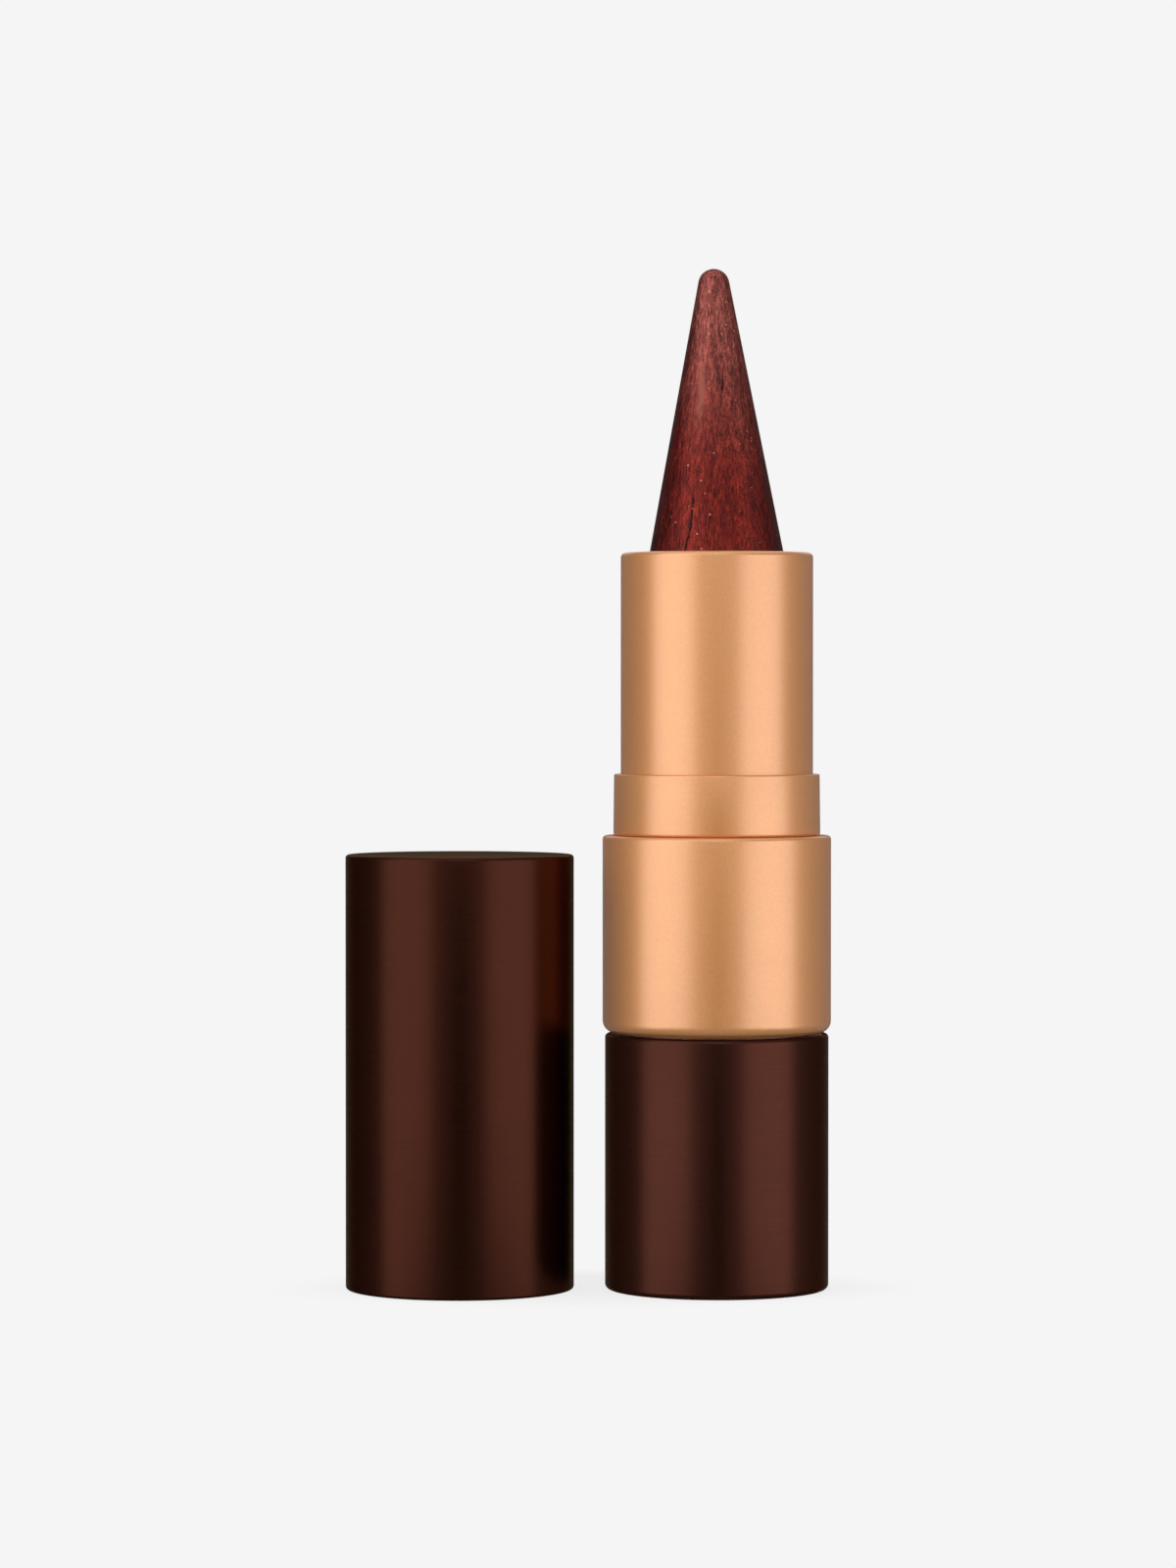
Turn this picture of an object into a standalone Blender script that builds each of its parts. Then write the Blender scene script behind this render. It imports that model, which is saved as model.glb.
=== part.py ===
# A twist-up eyeliner stick in a lipstick-type case, with its cap standing beside it.
# Units are metres and +Z is up. The origin is the centre of the base's flat underside,
# on the axis of the stick. The bullet is wound out as far as the photograph shows it.

import math

import bmesh
import bpy
from mathutils import Matrix, Vector

mm = 0.001

# Sides of a full circle, on pieces that show and on pieces inside
shown_sides = 60
inner_sides = 40
arc_steps = 3
lug_sides = 12

# Fits: pieces pressed or glued together, pieces that turn, pieces that slide
press_fit = 0.06 * mm
running_fit = 0.08 * mm
sliding_fit = 0.10 * mm
end_float = 0.10 * mm
overrun = 1.0 * mm
merge_distance = 0.001 * mm

# Drawn aluminium shells
metal_wall = 0.4 * mm
base_height = 21.3 * mm
base_inset = 0.2 * mm
base_foot_radius = 0.45 * mm
base_rim_radius = 0.2 * mm
seam_height = 0.2 * mm
collar_height = 16.3 * mm
collar_foot_radius = 1.0 * mm
collar_top_radius = 0.3 * mm
mouth_radius = 0.4 * mm

# Ring that the cap grips, wider at its foot
ring_height = 5.1 * mm
ring_wall = 0.5 * mm
ring_flare = 0.05 * mm
ring_edge_radius = 0.12 * mm
ring_neck_inset = 0.15 * mm
ring_neck_depth = 4.8 * mm

# Bullet: a rod with a cone and a round tip, cast in its cup
bullet_diameter = 12.1 * mm
tip_rise = 23.6 * mm
tip_radius = 1.3 * mm
cone_half_angle = math.radians(10.8)

# Cup with two lugs
cup_wall = 0.4 * mm
cup_height = 11.0 * mm
cup_floor = 0.8 * mm
cup_vent_radius = 2.0 * mm
cup_rim_chamfer = 0.15 * mm
cup_rib_count = 6
cup_rib_width = 0.6 * mm
cup_rib_height = 0.25 * mm
cup_rib_length = 8.0 * mm
lug_diameter = 1.5 * mm
lug_height = 4.4 * mm
lug_tip_gap = 0.15 * mm

# Swivel: straight slots in the guide tube, helical slots in the spiral sleeve
lead = 18.6 * mm
tip_depth = 1.0 * mm
spare_travel = 3.3 * mm
slot_clearance = 0.12 * mm
slot_count = 2
spiral_wall = 0.39 * mm
spiral_end_land = 2.0 * mm
guide_wall = 0.46 * mm
guide_floor = 0.6 * mm
guide_floor_bore_radius = 5.2 * mm
guide_lip = 0.35 * mm
guide_lip_height = 0.5 * mm
guide_lip_chamfer = 0.25 * mm
flange_height = 0.75 * mm
flange_recess = 0.1 * mm
landing_gap = 0.2 * mm
mouth_depth = 3.3 * mm
key_count = 4
key_width = 1.2 * mm
key_depth = 0.45 * mm
key_end_margin = 1.0 * mm

# Silicone ring between the guide tube and the cover sleeve
torque_ring_height = 1.1 * mm
torque_ring_bulge = 0.12 * mm

# Moulded socket and steel weight in the base
weight_height = 4.3 * mm
weight_chamfer = 0.3 * mm
core_wall = 0.84 * mm
core_web = 1.0 * mm
core_vent_radius = 1.5 * mm
core_rib_count = 8
core_rib_width = 0.8 * mm

# Cap, with its liner and the ribs that grip the ring
cap_height = 36.2 * mm
cap_top_radius = 0.28 * mm
cap_rim_radius = 0.25 * mm
cap_gap = 2.4 * mm
liner_gap = 0.08 * mm
liner_wall = 0.36 * mm
liner_roof = 0.8 * mm
liner_recess = 0.3 * mm
grip_rib_count = 8
grip_rib_width = 0.8 * mm
grip_rib_height = 0.1 * mm
grip_rib_length = 4.4 * mm
grip_rib_margin = 0.7 * mm

# Radii, worked outwards from the bullet
bullet_radius = bullet_diameter / 2
cup_inner_radius = bullet_radius + press_fit
cup_radius = cup_inner_radius + cup_wall
guide_inner_radius = cup_radius + sliding_fit
guide_radius = guide_inner_radius + guide_wall
spiral_inner_radius = guide_radius + running_fit
spiral_radius = spiral_inner_radius + spiral_wall
sleeve_inner_radius = spiral_radius + press_fit
sleeve_radius = sleeve_inner_radius + metal_wall
ring_inner_radius = sleeve_radius + press_fit
ring_radius = ring_inner_radius + ring_wall
ring_foot_outer_radius = ring_radius + ring_flare
ring_neck_radius = ring_foot_outer_radius - ring_neck_inset
liner_inner_radius = ring_foot_outer_radius + liner_gap
liner_radius = liner_inner_radius + liner_wall
cap_radius = liner_radius + press_fit + metal_wall
collar_radius = cap_radius
collar_inner_radius = collar_radius - metal_wall
base_radius = collar_radius - base_inset
base_inner_radius = base_radius - metal_wall
core_radius = base_inner_radius - press_fit
core_inner_radius = guide_radius + press_fit
core_socket_radius = core_inner_radius + core_wall
lug_tip_radius = sleeve_inner_radius - lug_tip_gap
cap_distance = collar_radius + cap_radius + cap_gap

# Slots, sized by the lugs that run in them
lug_radius = lug_diameter / 2
slot_radius = lug_radius + slot_clearance
rise_per_radian = lead / math.tau
slot_end_angle = slot_radius / spiral_inner_radius
slot_end_rise = rise_per_radian * slot_end_angle
slot_half_height = slot_radius * math.hypot(1, rise_per_radian / spiral_inner_radius)

# Heights, worked upwards from the base's underside
flange_top = base_height - flange_recess
flange_bottom = flange_top - flange_height
torque_ring_bottom = flange_top + end_float
spiral_bottom = torque_ring_bottom + torque_ring_height + end_float
lug_low = spiral_bottom + spiral_end_land + slot_half_height + slot_end_rise
lug_rest = lug_low + tip_rise + tip_depth
lug_high = lug_rest + spare_travel
spiral_top = lug_high + slot_end_rise + slot_half_height + spiral_end_land
guide_lip_bottom = spiral_top + end_float
guide_top = guide_lip_bottom + guide_lip_height
mouth_height = guide_top + mouth_depth + metal_wall
cup_bottom = lug_rest - lug_height
bullet_bottom = cup_bottom + cup_floor + press_fit
guide_floor_top = cup_bottom - tip_rise - tip_depth - landing_gap
tip_height = mouth_height + tip_rise
sleeve_bottom = flange_top + end_float
collar_bottom = base_height + seam_height
collar_top = collar_bottom + collar_height
ring_bottom = collar_top + press_fit
ring_top = collar_top + ring_height
ring_neck_bottom = collar_top - ring_neck_depth
weight_bottom = metal_wall + press_fit
core_bottom = weight_bottom + weight_height + press_fit
core_floor_top = core_bottom + core_web
core_top = flange_bottom - press_fit
guide_bottom = core_floor_top + end_float


def clear_scene():
    """Remove whatever the scene holds."""
    for thing in list(bpy.data.objects):
        bpy.data.objects.remove(thing, do_unlink=True)


def finish(name, colour, roughness, metallic=0.0):
    """Make a material with one Principled shader."""
    material = bpy.data.materials.new(name)
    material.use_nodes = True
    shader = material.node_tree.nodes["Principled BSDF"]
    shader.inputs["Base Color"].default_value = (*colour, 1.0)
    shader.inputs["Roughness"].default_value = roughness
    shader.inputs["Metallic"].default_value = metallic
    material.diffuse_color = (*colour, 1.0)
    return material


def arc(centre, radius, start, end, steps=arc_steps):
    """Points of a circular arc in an outline, its angles in degrees from straight out."""
    turns = [math.radians(start + (end - start) * step / steps) for step in range(steps + 1)]
    return [(centre[0] + radius * math.cos(turn), centre[1] + radius * math.sin(turn)) for turn in turns]


def place(name, shape, material=None, carrier=None):
    """Put a finished shape in the scene, smooth but for its edges, on what carries it."""
    bmesh.ops.remove_doubles(shape, verts=shape.verts, dist=merge_distance)
    bmesh.ops.recalc_face_normals(shape, faces=shape.faces)
    mesh = bpy.data.meshes.new(name)
    shape.to_mesh(mesh)
    shape.free()
    mesh.shade_smooth()
    mesh.set_sharp_from_angle(angle=math.radians(30))
    piece = bpy.data.objects.new(name, mesh)
    bpy.context.scene.collection.objects.link(piece)
    piece.parent = carrier
    if material:
        mesh.materials.append(material)
    return piece


def turned(name, outline, material, carrier=None, sides=shown_sides):
    """Turn an outline of (radius, height) points about the Z axis."""
    shape = bmesh.new()
    corners = [shape.verts.new((radius, 0, height)) for radius, height in outline]
    pairs = zip(corners, corners[1:] + corners[:1])
    edges = [shape.edges.new(pair) for pair in pairs if pair[0].co.x or pair[1].co.x]
    bmesh.ops.spin(shape, geom=corners + edges, cent=(0, 0, 0), axis=(0, 0, 1),
                   angle=math.tau, steps=sides, use_merge=True)
    return place(name, shape, material, carrier)


def add_block(shape, inner, outer, width, bottom, top, turn):
    """Add a block that points outwards from the axis, turned about it."""
    size = Matrix.Diagonal((outer - inner, width, top - bottom, 1))
    middle = Matrix.Translation(((inner + outer) / 2, 0, (bottom + top) / 2))
    bmesh.ops.create_cube(shape, size=1, matrix=Matrix.Rotation(turn, 4, "Z") @ middle @ size)


def ring_of_blocks(name, count, inner, outer, width, bottom, top, carrier=None):
    """A ring of alike blocks, as ribs, keys or keyways."""
    shape = bmesh.new()
    for index in range(count):
        add_block(shape, inner, outer, width, bottom, top, math.tau * index / count)
    return tool(place(name, shape, carrier=carrier))


def tool(piece):
    """Mark a shape that only cuts or adds to another, and isn't a piece itself."""
    piece.display_type = "WIRE"
    piece.hide_render = True
    return piece


def combine(piece, other, operation):
    """Cut another shape out of a piece, or join it on."""
    step = piece.modifiers.new(other.name, "BOOLEAN")
    step.operation = operation
    step.object = other


def axis_empty(name, location=(0, 0, 0)):
    """An empty on the axis of what it carries."""
    empty = bpy.data.objects.new(name, None)
    empty.location = location
    bpy.context.scene.collection.objects.link(empty)
    return empty


def make_base_shell(material):
    """Drawn cup with a rounded foot and a softened rim."""
    foot = arc((base_radius - base_foot_radius, base_foot_radius), base_foot_radius, -90, 0)
    rim_centre = (base_radius - base_rim_radius, base_height - base_rim_radius)
    rim = arc(rim_centre, base_rim_radius, 0, 90, 2)
    inside = [(base_inner_radius, base_height), (base_inner_radius, metal_wall), (0, metal_wall)]
    return turned("base_shell", [(0, 0), *foot, *rim, *inside], material)


def make_base_weight(material):
    """Steel disc glued to the floor of the base shell."""
    top = weight_bottom + weight_height
    outline = [
        (0, weight_bottom),
        (core_radius - weight_chamfer, weight_bottom),
        (core_radius, weight_bottom + weight_chamfer),
        (core_radius, top - weight_chamfer),
        (core_radius - weight_chamfer, top),
        (0, top),
    ]
    return turned("base_weight", outline, material, sides=inner_sides)


def make_base_core(material):
    """Moulded socket with a vented floor, a rim, ribs outside and keyways inside."""
    rim_bottom = core_top - core_web
    outline = [
        (core_radius, core_bottom),
        (core_radius, core_floor_top),
        (core_socket_radius, core_floor_top),
        (core_socket_radius, rim_bottom),
        (core_radius, rim_bottom),
        (core_radius, core_top),
        (core_inner_radius, core_top),
        (core_inner_radius, core_floor_top),
        (core_vent_radius, core_floor_top),
        (core_vent_radius, core_bottom),
    ]
    core = turned("base_core", outline, material, sides=inner_sides)
    embed = core_wall / 2
    ribs = ring_of_blocks("core_ribs", core_rib_count, core_socket_radius - embed, core_radius - press_fit,
                          core_rib_width, core_floor_top - embed, rim_bottom + embed)
    combine(core, ribs, "UNION")
    keyways = ring_of_blocks("core_keyways", key_count, core_inner_radius - key_depth,
                             guide_radius + key_depth + press_fit, key_width + 2 * press_fit,
                             core_floor_top + end_float, core_top + overrun)
    combine(core, keyways, "DIFFERENCE")
    return core


def make_guide_tube(material):
    """Tube with two straight slots, a floor for the cup, a flange, a lip and a keyed foot."""
    floor_bottom = guide_floor_top - guide_floor
    lip_radius = guide_radius + guide_lip
    outline = [
        (guide_radius, guide_bottom),
        (guide_radius, flange_bottom),
        (core_radius, flange_bottom),
        (core_radius, flange_top),
        (guide_radius, flange_top),
        (guide_radius, guide_lip_bottom),
        (lip_radius, guide_lip_bottom),
        (lip_radius, guide_top - guide_lip_chamfer),
        (lip_radius - guide_lip_chamfer, guide_top),
        (guide_inner_radius, guide_top),
        (guide_inner_radius, guide_floor_top),
        (guide_floor_bore_radius, guide_floor_top),
        (guide_floor_bore_radius, floor_bottom),
        (guide_inner_radius, floor_bottom),
        (guide_inner_radius, guide_bottom),
    ]
    guide = turned("guide_tube", outline, material, sides=inner_sides)
    combine(guide, make_straight_slots(), "DIFFERENCE")
    keys = ring_of_blocks("guide_keys", key_count, guide_radius - guide_wall / 2, guide_radius + key_depth,
                          key_width, guide_bottom + key_end_margin, core_top - key_end_margin)
    combine(guide, keys, "UNION")
    return guide


def make_straight_slots():
    """Cutter for both straight slots: one long bar with round ends, through the axis."""
    low = lug_low - slot_clearance
    high = lug_high + slot_clearance
    outline = arc((0, high), slot_radius, 0, 180, 2 * arc_steps)
    outline += arc((0, low), slot_radius, 180, 360, 2 * arc_steps)
    reach = guide_radius + overrun
    shape = bmesh.new()
    face = shape.faces.new([shape.verts.new((-reach, side, height)) for side, height in outline])
    swept = bmesh.ops.extrude_face_region(shape, geom=[face])
    corners = [part for part in swept["geom"] if isinstance(part, bmesh.types.BMVert)]
    bmesh.ops.translate(shape, verts=corners, vec=(2 * reach, 0, 0))
    return tool(place("guide_slots", shape))


def make_torque_ring(material, carrier):
    """Silicone ring with a bulged outer side, in the pocket above the flange."""
    inner = guide_radius + press_fit
    outer = sleeve_inner_radius - press_fit
    top = torque_ring_bottom + torque_ring_height
    outline = [
        (inner, torque_ring_bottom),
        (outer - torque_ring_bulge, torque_ring_bottom),
        (outer, torque_ring_bottom + torque_ring_bulge),
        (outer, top - torque_ring_bulge),
        (outer - torque_ring_bulge, top),
        (inner, top),
    ]
    return turned("torque_ring", outline, material, carrier, inner_sides)


def make_spiral_sleeve(material, carrier):
    """Tube with two right-handed helical slots that the lugs run in."""
    outline = [
        (spiral_radius, spiral_bottom),
        (spiral_radius, spiral_top),
        (spiral_inner_radius, spiral_top),
        (spiral_inner_radius, spiral_bottom),
    ]
    spiral = turned("spiral_sleeve", outline, material, carrier, inner_sides)
    combine(spiral, make_helical_slots(carrier), "DIFFERENCE")
    return spiral


def make_helical_slots(carrier):
    """Cutter for the helical slots, each swept through the whole travel of a lug."""
    start = (lug_low - lug_rest) / rise_per_radian - slot_end_angle
    end = spare_travel / rise_per_radian + slot_end_angle
    steps = math.ceil((end - start) / math.tau * inner_sides)
    inner = spiral_inner_radius - running_fit
    outer = spiral_radius + press_fit / 2
    shape = bmesh.new()
    for index in range(slot_count):
        first = math.tau * index / slot_count
        add_helix(shape, first, start, end, steps, inner, outer)
    return tool(place("spiral_slots", shape, carrier=carrier))


def add_helix(shape, first, start, end, steps, inner, outer):
    """Sweep one upright section along the lug's helix, from angle start to angle end."""
    sections = []
    for step in range(steps + 1):
        turn = start + (end - start) * step / steps
        height = lug_rest + rise_per_radian * turn
        out = Vector((math.cos(first + turn), math.sin(first + turn), 0))
        low = Vector((0, 0, height - slot_half_height))
        high = Vector((0, 0, height + slot_half_height))
        section = (out * inner + low, out * outer + low, out * outer + high, out * inner + high)
        sections.append([shape.verts.new(corner) for corner in section])
    shape.faces.new(sections[0])
    shape.faces.new(sections[-1])
    for near, far in zip(sections, sections[1:]):
        for corner in range(len(near)):
            shape.faces.new((near[corner - 1], near[corner], far[corner], far[corner - 1]))


def make_cover_sleeve(material, carrier):
    """Drawn tube whose mouth is rolled inwards round the bullet."""
    corner = (sleeve_radius - mouth_radius, mouth_height - mouth_radius)
    mouth = arc(corner, mouth_radius, 0, 90)
    outline = [
        (sleeve_radius, sleeve_bottom),
        *mouth,
        (guide_inner_radius, mouth_height),
        (guide_inner_radius, mouth_height - metal_wall),
        (sleeve_inner_radius, mouth_height - metal_wall),
        (sleeve_inner_radius, sleeve_bottom),
    ]
    return turned("cover_sleeve", outline, material, carrier)


def make_snap_ring(material, carrier):
    """Ring that the cap grips, with a neck that goes down inside the collar."""
    top = arc((ring_radius - ring_edge_radius, ring_top - ring_edge_radius), ring_edge_radius, 0, 90, 2)
    foot_centre = (ring_foot_outer_radius - ring_edge_radius, ring_bottom + ring_edge_radius)
    foot = arc(foot_centre, ring_edge_radius, -90, 0, 2)
    outline = [
        (ring_inner_radius, ring_neck_bottom),
        (ring_neck_radius, ring_neck_bottom),
        (ring_neck_radius, ring_bottom),
        *foot,
        *top,
        (ring_inner_radius, ring_top),
    ]
    return turned("snap_ring", outline, material, carrier)


def make_collar_shell(material, carrier):
    """Drawn tube curled inwards at its foot and at its top."""
    foot_centre = (collar_radius - collar_foot_radius, collar_bottom + collar_foot_radius)
    top_centre = (collar_radius - collar_top_radius, collar_top - collar_top_radius)
    foot_edge = sleeve_radius + 2 * press_fit
    top_edge = ring_neck_radius + press_fit
    outline = [
        (foot_edge, collar_bottom),
        *arc(foot_centre, collar_foot_radius, -90, 0),
        *arc(top_centre, collar_top_radius, 0, 90, 3),
        (top_edge, collar_top),
        (top_edge, collar_top - metal_wall),
        (collar_inner_radius, collar_top - metal_wall),
        *arc(foot_centre, collar_foot_radius - metal_wall, 0, -90, 3),
        (foot_edge, collar_bottom + metal_wall),
    ]
    return turned("collar_shell", outline, material, carrier)


def make_collar_core(material, carrier):
    """Moulded spacer between the sleeve and the collar shell, with a seat for the ring."""
    outer = collar_inner_radius - press_fit
    inner = ring_inner_radius
    bottom = collar_bottom + metal_wall + press_fit
    chamfer = collar_foot_radius - metal_wall
    seat = ring_neck_bottom - press_fit
    top = collar_top - metal_wall - press_fit
    outline = [
        (inner, bottom),
        (outer - chamfer, bottom),
        (outer, bottom + chamfer),
        (outer, top),
        (ring_neck_radius + press_fit, top),
        (ring_neck_radius + press_fit, seat),
        (inner, seat),
    ]
    return turned("collar_core", outline, material, carrier, inner_sides)


def make_cup(material, carrier):
    """Bullet holder with a vented floor, two lugs and upright ribs that grip the bullet."""
    rim = cup_bottom + cup_height
    outline = [
        (cup_radius, cup_bottom),
        (cup_radius, rim - cup_rim_chamfer),
        (cup_radius - cup_rim_chamfer, rim),
        (cup_inner_radius, rim),
        (cup_inner_radius, cup_bottom + cup_floor),
        (cup_vent_radius, cup_bottom + cup_floor),
        (cup_vent_radius, cup_bottom),
    ]
    cup = turned("cup", outline, material, carrier, inner_sides)
    combine(cup, make_lugs(carrier), "UNION")
    ribs = ring_of_blocks("cup_ribs", cup_rib_count, cup_inner_radius - cup_rib_height,
                          cup_inner_radius + cup_wall / 2, cup_rib_width,
                          cup_bottom + cup_floor / 2, bullet_bottom + cup_rib_length, carrier)
    combine(cup, ribs, "UNION")
    return cup


def make_lugs(carrier):
    """Two round lugs that point straight out from the cup's wall."""
    inner = cup_radius - cup_wall / 2
    middle = (inner + lug_tip_radius) / 2
    along = Matrix.Rotation(math.radians(90), 4, "Y")
    shape = bmesh.new()
    for index in range(slot_count):
        turn = Matrix.Rotation(math.tau * index / slot_count, 4, "Z")
        spot = turn @ Matrix.Translation((middle, 0, lug_rest)) @ along
        bmesh.ops.create_cone(shape, cap_ends=True, segments=lug_sides, radius1=lug_radius,
                              radius2=lug_radius, depth=lug_tip_radius - inner, matrix=spot)
    return tool(place("cup_lugs", shape, carrier=carrier))


def make_bullet(material, carrier):
    """Rod cast round the cup's ribs, with a cone whose sides run into a round tip."""
    centre = tip_height - tip_radius
    apex = centre + tip_radius / math.sin(cone_half_angle)
    shoulder = apex - bullet_radius / math.tan(cone_half_angle)
    tip = arc((0, centre), tip_radius, math.degrees(cone_half_angle), 90)
    tip[-1] = (0, tip_height)
    outline = [
        (0, bullet_bottom),
        (bullet_radius, bullet_bottom),
        (bullet_radius, shoulder),
        *tip,
    ]
    bullet = turned("bullet", outline, material, carrier)
    grooves = ring_of_blocks("bullet_grooves", cup_rib_count, cup_inner_radius - cup_rib_height - press_fit,
                             bullet_radius + overrun, cup_rib_width + 2 * press_fit,
                             bullet_bottom - overrun, bullet_bottom + cup_rib_length + press_fit, carrier)
    combine(bullet, grooves, "DIFFERENCE")
    return bullet


def make_cap_shell(material, carrier):
    """Drawn cup, open downwards, with a crisp top edge."""
    rim = arc((cap_radius - cap_rim_radius, cap_rim_radius), cap_rim_radius, -90, 0, 2)
    top_centre = (cap_radius - cap_top_radius, cap_height - cap_top_radius)
    outline = [
        (cap_radius - metal_wall, 0),
        *rim,
        *arc(top_centre, cap_top_radius, 0, 90, 3),
        (0, cap_height),
        (0, cap_height - metal_wall),
        (cap_radius - metal_wall, cap_height - metal_wall),
    ]
    return turned("cap_shell", outline, material, carrier)


def make_cap_liner(material, carrier):
    """Moulded liner with upright ribs near its rim that grip the ring."""
    top = cap_height - metal_wall - press_fit
    outline = [
        (liner_inner_radius, liner_recess),
        (liner_radius, liner_recess),
        (liner_radius, top),
        (0, top),
        (0, top - liner_roof),
        (liner_inner_radius, top - liner_roof),
    ]
    liner = turned("cap_liner", outline, material, carrier, inner_sides)
    bottom = liner_recess + grip_rib_margin
    ribs = ring_of_blocks("liner_ribs", grip_rib_count, liner_inner_radius - grip_rib_height,
                          liner_inner_radius + liner_wall / 2, grip_rib_width, bottom,
                          bottom + grip_rib_length, carrier)
    combine(liner, ribs, "UNION")
    return liner


def make_all():
    """Build every piece on the empty that carries it."""
    dark_metal = finish("dark_brown_anodised_aluminium", (0.045, 0.014, 0.008), 0.38, 1.0)
    copper_metal = finish("copper_anodised_aluminium", (0.80, 0.42, 0.21), 0.34, 1.0)
    wax = finish("eyeliner_mass", (0.13, 0.022, 0.015), 0.42)
    natural_plastic = finish("natural_acetal", (0.75, 0.73, 0.68), 0.45)
    white_plastic = finish("white_polypropylene", (0.82, 0.82, 0.80), 0.5)
    black_plastic = finish("black_polypropylene", (0.03, 0.03, 0.03), 0.5)
    silicone = finish("clear_silicone", (0.6, 0.6, 0.58), 0.35)
    steel = finish("zinc_plated_steel", (0.55, 0.56, 0.58), 0.35, 1.0)

    make_base_shell(dark_metal)
    make_base_weight(steel)
    make_base_core(black_plastic)
    make_guide_tube(white_plastic)

    upper = axis_empty("upper_axis")
    make_torque_ring(silicone, upper)
    make_spiral_sleeve(natural_plastic, upper)
    make_cover_sleeve(copper_metal, upper)
    make_snap_ring(copper_metal, upper)
    make_collar_shell(copper_metal, upper)
    make_collar_core(black_plastic, upper)

    carrier = axis_empty("carrier_axis")
    make_cup(white_plastic, carrier)
    make_bullet(wax, carrier)

    cap = axis_empty("cap_axis", (-cap_distance, 0, 0))
    make_cap_shell(dark_metal, cap)
    make_cap_liner(black_plastic, cap)


clear_scene()
make_all()
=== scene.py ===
import math

import bmesh
import bpy
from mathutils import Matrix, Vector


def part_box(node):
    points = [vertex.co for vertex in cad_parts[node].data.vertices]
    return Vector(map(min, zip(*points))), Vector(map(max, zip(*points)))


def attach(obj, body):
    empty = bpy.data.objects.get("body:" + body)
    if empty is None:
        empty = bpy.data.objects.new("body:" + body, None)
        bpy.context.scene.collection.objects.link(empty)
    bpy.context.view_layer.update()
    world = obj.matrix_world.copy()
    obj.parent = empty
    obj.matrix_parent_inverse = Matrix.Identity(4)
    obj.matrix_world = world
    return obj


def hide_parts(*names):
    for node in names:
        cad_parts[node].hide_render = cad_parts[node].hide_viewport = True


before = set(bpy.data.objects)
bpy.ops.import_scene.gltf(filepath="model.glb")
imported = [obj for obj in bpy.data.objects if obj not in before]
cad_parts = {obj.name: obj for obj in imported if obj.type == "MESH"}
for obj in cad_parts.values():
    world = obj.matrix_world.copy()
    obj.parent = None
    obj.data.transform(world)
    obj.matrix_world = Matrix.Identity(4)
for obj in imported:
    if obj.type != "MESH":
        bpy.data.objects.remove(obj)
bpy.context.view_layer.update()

mm = 0.001

# Studio: an oval white table that fades into a white background, two tall soft boxes beside the
# camera and one above it, and black, grey and white cards round the set. Brushed metal mirrors
# it: the boxes give each shell its two broad lights, the cards its dark middle and edges.
white_ground = "f5f5f5"
# The camera looks down by a drop in degrees. Its sensor and its lens are in millimetres.
camera_distance = 440 * mm
camera_height = 50 * mm
camera_side = -10.73 * mm
camera_drop = 1.033
sensor_width = 36
lens_length = 121.3


def linear(code):
    """An sRGB hex colour as linear values."""
    parts = [int(code[place:place + 2], 16) / 255 for place in (0, 2, 4)]
    return [part / 12.92 if part <= 0.04045 else ((part + 0.055) / 1.055) ** 2.4 for part in parts] + [1.0]


def add_node(owner, kind, inputs=None, **settings):
    """Add one node with its settings, and with each input set to a value or linked to a socket."""
    tree = owner.node_tree
    node = tree.nodes.new("ShaderNode" + kind)
    for name, value in settings.items():
        setattr(node, name, value)
    for name, value in (inputs or {}).items():
        if isinstance(value, bpy.types.NodeSocket):
            tree.links.new(value, node.inputs[name])
        else:
            node.inputs[name].default_value = value
    return node


def hang_card(name, turn, distance, width, height, middle, material, lean=90):
    """Hang a card that faces the object, at a turn from the camera's side. A lean of 90 is upright."""
    bpy.ops.object.select_all(action="DESELECT")
    across = math.radians(turn)
    spot = (distance * math.sin(across), -distance * math.cos(across), middle)
    bpy.ops.mesh.primitive_plane_add(size=1, location=spot, rotation=(math.radians(lean), 0, across))
    card = bpy.context.object
    card.name = card.data.name = name
    card.scale = (width, height, 1)
    bpy.ops.object.transform_apply(location=True, rotation=True, scale=True)
    card.data.materials.append(material)
    card.visible_camera = False


def hang_soft_box(name, turn, distance, width, height, middle, light):
    """Hang a soft box that gives an even light, in the units in which 1 is white."""
    bpy.ops.object.select_all(action="DESELECT")
    across = math.radians(turn)
    spot = (distance * math.sin(across), -distance * math.cos(across), middle)
    bpy.ops.object.light_add(type="AREA", location=spot, rotation=(math.radians(90), 0, across))
    lamp = bpy.context.object
    lamp.name = lamp.data.name = name
    lamp.data.shape = "RECTANGLE"
    lamp.data.size = width
    lamp.data.size_y = height
    lamp.data.energy = light * math.pi * width * height
    lamp.visible_camera = False


scene = bpy.context.scene
scene.view_settings.view_transform = "Standard"

bpy.ops.object.select_all(action="DESELECT")
bpy.ops.object.camera_add(location=(camera_side, -camera_distance, camera_height),
                          rotation=(math.radians(90 - camera_drop), 0, 0))
camera = bpy.context.object
camera.name = "camera"
camera.data.sensor_width = sensor_width
camera.data.lens = lens_length
camera.data.clip_start = 10 * mm
scene.camera = camera

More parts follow.
